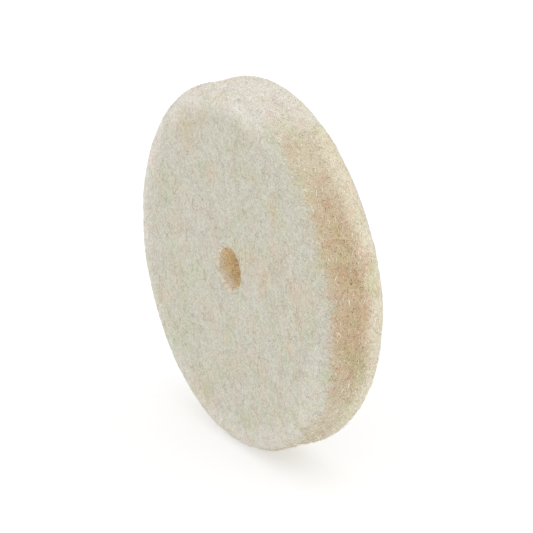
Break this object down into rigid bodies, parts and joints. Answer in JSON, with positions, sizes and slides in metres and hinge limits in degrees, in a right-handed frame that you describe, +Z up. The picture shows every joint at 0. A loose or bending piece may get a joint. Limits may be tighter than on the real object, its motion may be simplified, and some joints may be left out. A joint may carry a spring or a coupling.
{
  "type": "felt polishing wheel",
  "caption": "Thick disc of pressed wool felt with soft edges and a plain centre hole, used on a small rotary tool's mandrel to polish stones and metal.",
  "frame": {"origin": "centre of the wheel, on the hole's axis, halfway between the two faces", "axes": "the wheel stands upright and spins about +Y; the front face looks along -Y, the back face along +Y, and +Z is up"},
  "size_m": [0.0254, 0.0046, 0.0254],
  "materials": {
    "wool_felt": "matt pressed wool, fibrous"
  },
  "bodies": {
    "root": {"felt_disc": "wool_felt"}
  },
  "joints": []
}
